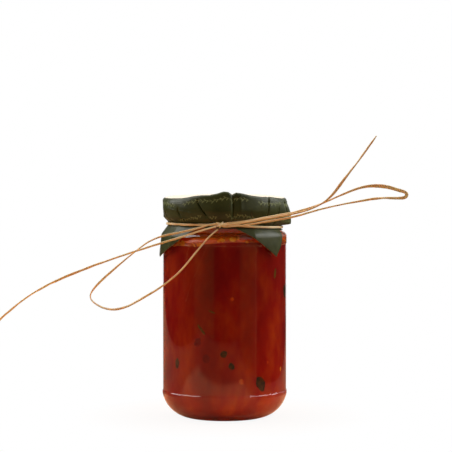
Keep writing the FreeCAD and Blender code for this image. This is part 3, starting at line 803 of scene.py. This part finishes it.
# Creases in the cover's side: the angle and height of the upper and the lower end, the depth of
# the fold, how far it runs out to its left and to its right, how far its right side stands
# behind its left, and the depth of the pinched line in its middle.
CREASES = [
    (7.2, 121.0, 7.1, 103.0, 0.3, 2.4, 4.2, 0.8, 0.9),
    (-24.5, 114.2, -11.0, 103.4, 0.4, 2.2, 1.5, -0.6, 1.0),
    (-46.5, 109.8, -41.0, 103.0, 0.4, 1.3, 2.0, 0.3, 0.8),
    (-68.5, 108.2, -62.5, 103.0, 0.4, 1.5, 1.5, 0.2, 0.8),
    (-85.0, 112.5, -79.0, 103.0, 0.8, 2.2, 1.6, 0.2, 0.8),
    (44.5, 117.0, 41.5, 104.0, 0.25, 4.0, 1.2, 0.3, 0.8),
    (24.0, 108.5, 26.0, 103.0, 0.4, 1.6, 2.2, 0.0, 0.3),
    (58.0, 110.0, 56.0, 103.0, 0.4, 2.0, 1.6, -0.2, 0.5),
    (70.0, 117.5, 77.0, 108.0, 0.7, 1.4, 3.4, -0.2, 0.4),
    (106.0, 116.0, 101.0, 103.0, 1.1, 2.4, 1.6, 0.3, 0.8),
    (121.0, 111.5, 124.0, 103.0, 0.8, 1.6, 2.2, -0.2, 0.8),
    (137.0, 115.0, 132.0, 103.0, 1.0, 2.6, 1.8, 0.3, 0.8),
    (150.0, 110.0, 153.0, 103.0, 0.7, 1.6, 1.6, 0.0, 0.8),
    (168.0, 116.5, 163.0, 103.0, 1.1, 2.0, 3.0, -0.4, 0.8),
    (180.0, 109.5, 184.0, 103.0, 0.8, 1.4, 1.8, 0.2, 0.8),
    (-163.0, 114.0, -157.0, 103.0, 1.0, 2.4, 1.6, 0.3, 0.8),
    (-146.0, 110.5, -144.0, 103.0, 0.7, 1.8, 1.4, 0.0, 0.8),
    (-133.0, 116.0, -127.0, 103.0, 1.1, 1.8, 2.8, -0.4, 0.8),
    (-114.0, 111.0, -117.0, 103.0, 0.8, 2.0, 1.6, 0.2, 0.8),
    (-101.0, 115.0, -98.0, 103.0, 0.9, 1.6, 2.4, 0.3, 0.8),
]

# Ridges: the same, with a height instead of a depth, on the side and on the hanging corners.
RIDGES = [
    (14.7, 118.5, 14.9, 110.5, 0.45, 0.7, 1.1),
    (-60.0, 110.6, -32.0, 109.2, 0.35, 1.2, 1.2),
    (29.0, 102.5, 27.0, 92.0, 0.9, 3.0, 4.5),
    (57.0, 101.0, 59.0, 90.0, 0.5, 4.0, 2.0),
    (-52.0, 101.5, -56.0, 91.0, 0.7, 3.0, 2.5),
    (-78.0, 101.5, -76.0, 90.0, 0.6, 2.5, 3.5),
    (128.0, 101.5, 131.0, 90.0, 0.8, 3.0, 3.0),
    (152.0, 101.5, 148.0, 90.0, 0.6, 2.5, 3.5),
    (-136.0, 101.5, -140.0, 90.0, 0.8, 3.5, 2.5),
    (-160.0, 101.5, -154.0, 90.0, 0.6, 2.5, 3.0),
]


def along(table, place):
    """The value that a table gives at a place, evenly between its rows."""
    before, after, part = rows_beside(table, place)
    return before[1] + (after[1] - before[1]) * part


def off_line(angle, height, line):
    """Millimetres to the right of a crease's line, past its upper end and past its lower end."""
    top_angle, top, foot_angle, foot = line[:4]
    part = (top - height) / (top - foot)
    here = top_angle + (foot_angle - top_angle) * min(max(part, 0), 1)
    aside = 1000 * BODY_RADIUS * radians((angle - here + 180) % 360 - 180)
    return aside, max(height - top, 0), max(foot - height, 0)


# The side is slack at this height, by so many millimetres, except at the far left and right.
SLACK_HEIGHT, SLACK = 110.2, 0.9


def creased(angle, height):
    """How far the creases and ridges move the paper outwards at an angle and height."""
    slack = SLACK * (1 - exp(-((abs(angle) - 90) / 15) ** 2))
    spread = 5.0 if height > SLACK_HEIGHT else 3.6
    moved = slack * exp(-((height - SLACK_HEIGHT) / spread) ** 2)
    for line in CREASES:
        depth, left, right, behind, pinch = line[4:]
        aside, above, below = off_line(angle, height, line)
        fade = exp(-(above / 1.4) ** 2 - (below / 1.5) ** 2)
        if fade < 0.02 or abs(aside) > 16:
            continue
        grow = min(1, 0.35 + 0.65 * (line[1] - height) / 4) if height < line[1] else 0.35
        if aside < 0:
            moved += fade * grow * (behind / 2 - depth * exp(aside / left)) * exp(aside / 9)
        else:
            moved -= fade * grow * (behind / 2 + depth * exp(-aside / right)) * exp(-aside / 9)
        moved -= fade * pinch * max(0, 1 - abs(aside) / 0.7)
    for line in RIDGES:
        rise, left, right = line[4:]
        aside, above, below = off_line(angle, height, line)
        fade = exp(-(above / 1.2) ** 2 - (below / 2.0) ** 2)
        moved += rise * fade * exp(-abs(aside) / (left if aside < 0 else right))
    return moved


FOLD_ANGLE = 88


def side_fold(angle):
    """1 on the ridge of the fold that stands out on the right, falling to 0 beside it."""
    offset = angle - FOLD_ANGLE
    return exp(-(offset / (14 if offset < 0 else 19)) ** 2)


def skirt_place(angle, drop):
    """Radius and height of the paper that hangs below the tie, at a distance along it."""
    start_radius, start_height = NECK_LINE_RADIUS, tie_height(angle) - HALF_WAIST
    centre_radius = BODY_RADIUS - SHOULDER_RADIUS
    reach = SHOULDER_RADIUS + PAPER_ABOVE_GLASS
    away = hypot(start_radius - centre_radius, start_height - RING_TOP)
    straight = sqrt(max(away**2 - reach**2, 0)) + 1e-6
    touch = atan2(start_height - RING_TOP, start_radius - centre_radius)
    touch -= acos(min(reach / away, 1))
    touch_radius = centre_radius + reach * cos(touch)
    touch_height = RING_TOP + reach * sin(touch)
    if drop <= straight:
        share = drop / straight
        return (
            start_radius + share * (touch_radius - start_radius),
            start_height + share * (touch_height - start_height),
        )
    bend = min((drop - straight) / reach, touch - HANG_LEAN)
    rest = drop - straight - bend * reach
    return (
        centre_radius + reach * cos(touch - bend) + rest * sin(touch - bend),
        RING_TOP + reach * sin(touch - bend) - rest * cos(touch - bend),
    )


TOP_RINGS, RIM_RINGS, SIDE_RINGS, SKIRT_RINGS = 21, 6, 40, 25


def cover_profile(angle):
    """Radius and height along the paper from the middle of the top to its edge, at an angle."""
    turn = degrees(angle)
    rim = along(RIM_HEIGHTS, turn) / 1000
    fold = side_fold(turn)
    top_radius = RIM_RADIUS - RIM_ROUND
    dent = 0.6 * creased(turn, 1000 * rim) / 1000
    places = []
    for step in range(1, TOP_RINGS + 1):
        share = step / TOP_RINGS
        lift = share**5 if rim > COVER_MIDDLE else share**2
        places.append((
            share * (top_radius + dent * share**4), COVER_MIDDLE + (rim - COVER_MIDDLE) * lift
        ))
    for step in range(1, RIM_RINGS + 1):
        bow = step / RIM_RINGS * pi / 2
        places.append((top_radius + dent + RIM_ROUND * sin(bow), rim - RIM_ROUND * (1 - cos(bow))))
    upper = rim - RIM_ROUND
    waist_top = tie_height(angle) + HALF_WAIST
    for step in range(1, SIDE_RINGS + 1):
        share = step / SIDE_RINGS
        height = upper + share * (waist_top - upper)
        level = 1000 * (height - waist_top) + WAIST_LEVEL
        close, stood_out = along(SIDE_RADII, level), along(FOLD_RADII, level)
        radius = (close + (stood_out - close) * fold) / 1000
        # Creases are shallower close to the rim and close to the tie.
        past_rim = min(share / 0.12, 1)
        above_tie = min((1 - share) * 6, 1)
        loose = (0.6 + 0.4 * past_rim) * creased(turn, 1000 * height) / 1000
        radius += (0.25 + 0.75 * above_tie) * loose
        if height > LID_EDGE_FOOT:
            radius = max(radius, LID_EDGE_REACH if height < LID_EDGE_TOP else LID_REACH)
        places.append((max(radius, NECK_REACH), height))
    drop = along(SKIRT_DROPS, turn if turn > -148 else turn + 360) / 1000
    for step in range(SKIRT_RINGS + 1):
        past = drop * step / SKIRT_RINGS if step < SKIRT_RINGS else drop + CUT_EDGE
        radius, height = skirt_place(angle, past)
        loose = creased(turn, 1000 * height) / 1000
        places.append((radius + min(past / 0.004, 1) * max(loose, -0.0002), height))
    return places


def flat_angle(angle):
    """The angle on the flat sheet, whose corners lie at quarter turns from 45 degrees."""
    first = PAPER_CORNERS[0]
    turn = (degrees(angle) - first) % 360 + first
    following = PAPER_CORNERS[1:] + (first + 360,)
    for number, (before, after) in enumerate(zip(PAPER_CORNERS, following)):
        if turn <= after:
            return radians(-45 + 90 * (number + (turn - before) / (after - before)))


COLUMNS = 720
PAPER_THICKNESS = 0.00012
CRUMPLES = [(190, 0.00012), (480, 0.00004)]
shape = bmesh.new()
sheet_uv = shape.loops.layers.uv.new("sheet")
middle = shape.verts.new((0, 0, COVER_MIDDLE))
columns = []
for column in range(COLUMNS):
    angle = 2 * pi * column / COLUMNS - pi
    turned = flat_angle(angle)
    length = 0.0
    last = (0.0, COVER_MIDDLE)
    points = []
    for radius, height in cover_profile(angle):
        length += hypot(radius - last[0], height - last[1])
        last = (radius, height)
        place = at(angle, radius, height)
        crumple = sum(noise.noise(place * rate) * depth for rate, depth in CRUMPLES)
        place += from_the_axis(place) * crumple
        flat = (1000 * length * sin(turned), -1000 * length * cos(turned))
        points.append((shape.verts.new(place), flat))
    columns.append(points)


def paper_face(corners):
    face = shape.faces.new([vertex for vertex, flat in corners])
    face.smooth = True
    for loop, (vertex, flat) in zip(face.loops, corners):
        loop[sheet_uv].uv = flat


for column in range(COLUMNS):
    here, there = columns[column], columns[(column + 1) % COLUMNS]
    paper_face([(middle, (0, 0)), here[0], there[0]])
    for ring in range(len(here) - 1):
        paper_face([here[ring], here[ring + 1], there[ring + 1], there[ring]])
bmesh.ops.recalc_face_normals(shape, faces=shape.faces)
cover_mesh = bpy.data.meshes.new("paper_sheet")
shape.to_mesh(cover_mesh)
shape.free()
cover = bpy.data.objects.new("paper_sheet", cover_mesh)
bpy.context.collection.objects.link(cover)
thickness = cover.modifiers.new("thickness", "SOLIDIFY")
thickness.thickness = PAPER_THICKNESS
thickness.offset = 0
thickness.material_offset = 1
thickness.material_offset_rim = 2
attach(cover, "root")
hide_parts("paper_cover")

paper, nodes, link, shader = bare_material("paper")
on_sheet = uv_place("sheet")


def maths(operation, *sources):
    """The output of a Math node, whose inputs are other nodes' outputs or numbers."""
    node = nodes.new("ShaderNodeMath")
    node.operation = operation
    for socket, source in zip(node.inputs, sources):
        feed(socket, source)
    return node.outputs["Value"]


def product(first, *others):
    for other in others:
        first = maths("MULTIPLY", first, other)
    return first


# The cream field is a disc with a soft edge, in millimetres from the middle of the sheet.
CREAM_RADIUS = 31.5
CREAM_EDGE = 0.3
flat_x, flat_y, _ = parts_of(on_sheet)
from_middle = maths("SQRT", maths("ADD", maths("POWER", flat_x, 2), maths("POWER", flat_y, 2)))
past_field = maths("MAXIMUM", maths("SUBTRACT", from_middle, CREAM_RADIUS), 0)
is_green = product(maths("SMOOTH_MIN", past_field, CREAM_EDGE, 0.1), 1 / CREAM_EDGE)

# Two rounds of small leaf sprigs lie in the green border, and every fifth sprig is left out.
INNER_ROW, OUTER_ROW, ROWS_PART_AT = 35.4, 44.2, 39.8
INNER_SPRIGS, OUTER_SPRIGS = 58, 72
SPRIG_LENGTH = 3.8
SPRIG_REACH = 1.8
HALF_STEM = 0.13
round_angle = maths("ARCTAN2", flat_x, flat_y)
in_outer = maths("GREATER_THAN", from_middle, ROWS_PART_AT)
row_radius = maths("ADD", product(in_outer, OUTER_ROW - INNER_ROW), INNER_ROW)
row_count = maths("ADD", product(in_outer, OUTER_SPRIGS - INNER_SPRIGS), INNER_SPRIGS)
cells = product(maths("DIVIDE", round_angle, 2 * pi), row_count)
cell_number = maths("FLOOR", cells)
sprig_x = product(maths("SUBTRACT", maths("SUBTRACT", cells, cell_number), 0.5), SPRIG_LENGTH)
sway = product(maths("SINE", product(round_angle, 11)), 0.45)
sprig_y = maths("SUBTRACT", maths("SUBTRACT", from_middle, row_radius), sway)
bow = product(maths("SINE", product(sprig_x, 2 * pi / SPRIG_LENGTH)), 0.35)
stem = maths("LESS_THAN", maths("ABSOLUTE", maths("SUBTRACT", sprig_y, bow)), HALF_STEM)


def leaf(x, y, turn, length, width):
    """1 on one oval leaf of a sprig, in millimetres from the sprig's middle."""
    turn = radians(turn)
    right = maths("SUBTRACT", sprig_x, x)
    up = maths("SUBTRACT", sprig_y, y)
    tip = maths("ADD", product(right, cos(turn) / length), product(up, sin(turn) / length))
    side = maths("SUBTRACT", product(up, cos(turn) / width), product(right, sin(turn) / width))
    return maths("LESS_THAN", maths("ADD", maths("POWER", tip, 2), maths("POWER", side, 2)), 1)


leaves = stem
for x, y, turn, length, width in (
    (-1.15, 0.30, 62, 0.80, 0.24), (-0.20, -0.55, -48, 0.66, 0.24),
    (0.55, 0.62, 55, 0.85, 0.26), (1.35, -0.35, -40, 0.60, 0.22),
):
    leaves = maths("MAXIMUM", leaves, leaf(x, y, turn, length, width))
is_kept = maths("LESS_THAN", maths("FLOORED_MODULO", cell_number, 5), 4)
in_border = maths("LESS_THAN", maths("ABSOLUTE", sprig_y), SPRIG_REACH)
printed = product(leaves, is_kept, in_border, clouds(on_sheet, 0.35))

cloudy = clouds(on_sheet, 0.12, 3)
green = ramp(cloudy, [(0.35, (0.036, 0.041, 0.0130)), (0.65, (0.055, 0.062, 0.019))])
cream = ramp(cloudy, [(0.35, (0.82, 0.70, 0.54)), (0.65, (0.90, 0.80, 0.65))])
sprigged = colour_mix(printed, green, (0.30, 0.33, 0.14))
paint(colour_mix(is_green, cream, sprigged))
roughen(clouds(on_sheet, 1.1, 3), 0.25, 0.0002)
put(shader, {"Roughness": 0.34, "Specular IOR Level": 0.22})

# The bare back of the sheet and its cut edge.
cover_mesh.materials.append(paper)
for name, scale, dark, light, roughness in (
    ("paper_back", 2.0, (0.62, 0.58, 0.47), (0.72, 0.68, 0.57), 0.75),
    ("paper_edge", 3.0, (0.35, 0.24, 0.15), (0.60, 0.44, 0.30), 0.8),
):
    bare_paper, nodes, link, shader = bare_material(name)
    pulp = clouds(uv_place("sheet"), scale)
    paint(ramp(pulp, [(0.35, dark), (0.65, light)]))
    put(shader, {"Roughness": roughness})
    cover_mesh.materials.append(bare_paper)


# --------------------------------------------
# Floor and light: a small table and a backdrop that look white to the camera and through clear
# glass, a dim room with three paler openings, which the glass mirrors along with the table's warm
# top, painted with shade at its rim and a pool of light by the jar, and large soft lamps at both
# sides and above the back.

TABLE_LEFT, TABLE_RIGHT = -0.38, 0.18
TABLE_FRONT, TABLE_BACK = -0.42, 0.90
choose()
bpy.ops.mesh.primitive_plane_add(size=1)
floor = bpy.context.object
floor.name = "floor"
shape = edit(floor)
for vertex in shape.verts:
    vertex.co.x = TABLE_RIGHT if vertex.co.x > 0 else TABLE_LEFT
    vertex.co.y = TABLE_BACK if vertex.co.y > 0 else TABLE_FRONT
finish_edit(floor)
white, nodes, link, shader = bare_material("floor_white")
put(shader, {"Roughness": 0.9})


def seen_through_glass():
    """1 for what the camera sees itself or through clear glass, with no dull surface between."""
    rays = nodes.new("ShaderNodeLightPath")
    clear_path = maths("LESS_THAN", rays.outputs["Diffuse Depth"], 0.5)
    through = product(rays.outputs["Is Transmission Ray"], clear_path)
    return maths("MAXIMUM", rays.outputs["Is Camera Ray"], through)


def within(value, left, left_full, right_full, right):
    """1 where a value lies between two soft edges and 0 outside them."""
    return product(eased(value, left, left_full), eased(value, right, right_full))


# Round the jar's foot the floor keeps a little of its shadow even where it looks white.
SHADOW_REACH = 0.08
SHADOW_SHARE = 0.12
place = object_place()
from_jar = nodes.new("ShaderNodeVectorMath")
from_jar.operation = "LENGTH"
link(place, from_jar.inputs[0])
clear = maths("MINIMUM", product(from_jar.outputs["Value"], 1 / SHADOW_REACH), 1)
whiteness = maths("MULTIPLY_ADD", clear, SHADOW_SHARE, 1 - SHADOW_SHARE)

# Painted light on the table top, which shows mostly in reflections and bounce light: painted shade
# darkens its rim, and a painted pool of light makes it lighter close to the jar, but not beside
# it:
# the soft edges of these parts, from left to right and from the front backwards.
RIM_SHADE_ACROSS, RIM_SHADE_AHEAD = (-0.375, -0.335, 0.135, 0.175), (-0.415, -0.38)
POOL_ACROSS, POOL_AHEAD = (-0.225, -0.195, 0.085, 0.115), (-0.205, -0.17)
NOT_BESIDE, BESIDE_SLANT = (0.13, 0.09), 1.2
across, ahead, _ = parts_of(place)
clear_of_rim_shade = product(within(across, *RIM_SHADE_ACROSS), eased(ahead, *RIM_SHADE_AHEAD))
beside = maths("ADD", maths("ABSOLUTE", across), product(ahead, BESIDE_SLANT))
painted_pool = product(within(across, *POOL_ACROSS), eased(ahead, *POOL_AHEAD), eased(beside, *NOT_BESIDE))
# Painted pool of light close to the jar, and painted shade at the table's rim.
pool_colour = colour_mix(painted_pool, (0.20, 0.10, 0.04), (0.78, 0.42, 0.20))
paint(colour_mix(clear_of_rim_shade, (0.03, 0.02, 0.01), pool_colour))
shine = put(nodes.new("ShaderNodeEmission"), {"Strength": 1.0})
mix = nodes.new("ShaderNodeMixShader")
link(product(seen_through_glass(), whiteness), mix.inputs["Fac"])
link(shader.outputs["BSDF"], mix.inputs[1])
link(shine.outputs["Emission"], mix.inputs[2])
link(mix.outputs["Shader"], nodes["Material Output"].inputs["Surface"])
floor.data.materials.append(white)

world = bpy.data.worlds.new("studio")
bpy.context.scene.world = world
world.use_nodes = True
nodes, link = world.node_tree.nodes, world.node_tree.links.new
background = nodes["Background"]
direction = nodes.new("ShaderNodeTexCoord").outputs["Generated"]
to_right, to_back, upward = parts_of(direction)
aside = maths("ARCTAN2", to_right, product(to_back, -1))

# The openings in the dim room: left and right edge in degrees from the front, how soft the edges
# are, and how much they shine.
ROOM = 0.02
OPENINGS = [(-57.5, -19.5, 1.0, 0.18), (28.8, 57.6, 1.0, 0.15), (59.2, 61.0, 0.3, 0.6)]
strength = ROOM
in_opening = 0
for left, right, soft, brightness in OPENINGS:
    opening = within(aside, radians(left - soft), radians(left + soft),
                     radians(right - soft), radians(right + soft))
    strength = maths("ADD", strength, product(opening, brightness))
    in_opening = maths("ADD", in_opening, opening)

# The pale wall on the right, the ceiling and the backdrop behind the jar.
pale_wall = product(eased(to_right, 0.3, 0.6), eased(upward, 0.0, 0.12), 0.6)
ceiling = product(eased(upward, 0.80, 0.95), 0.3)
backdrop = product(eased(to_back, 0.92, 0.985), 0.9)
for surface in (pale_wall, ceiling, backdrop):
    strength = maths("MAXIMUM", strength, surface)
seen = seen_through_glass()
link(maths("MAXIMUM", strength, seen), background.inputs["Strength"])
warmed = product(in_opening, maths("LESS_THAN", pale_wall, 0.01), maths("SUBTRACT", 1, seen))
link(colour_mix(warmed, (1.0, 1.0, 1.0), (1.0, 0.75, 0.25)), background.inputs["Color"])


LAMPS_AIM = Vector((0, 0, 0.06))


def lamp(name, place, width, height, power):
    """A soft box that shines at the middle of the jar."""
    data = bpy.data.lights.new(name, "AREA")
    data.shape = "RECTANGLE"
    data.size = width
    data.size_y = height
    data.energy = power
    item = bpy.data.objects.new(name, data)
    bpy.context.collection.objects.link(item)
    item.location = place
    aim = LAMPS_AIM - item.location
    item.rotation_euler = aim.to_track_quat("-Z", "Y").to_euler()


lamp("lamp_left", (-1.45, 0.25, 1.20), 1.8, 1.4, 37)
lamp("lamp_right", (1.50, 0.25, 1.20), 1.8, 1.4, 34)
lamp("lamp_top", (0.0, 0.70, 1.70), 1.6, 0.5, 13)

bpy.context.scene.view_settings.view_transform = "Standard"
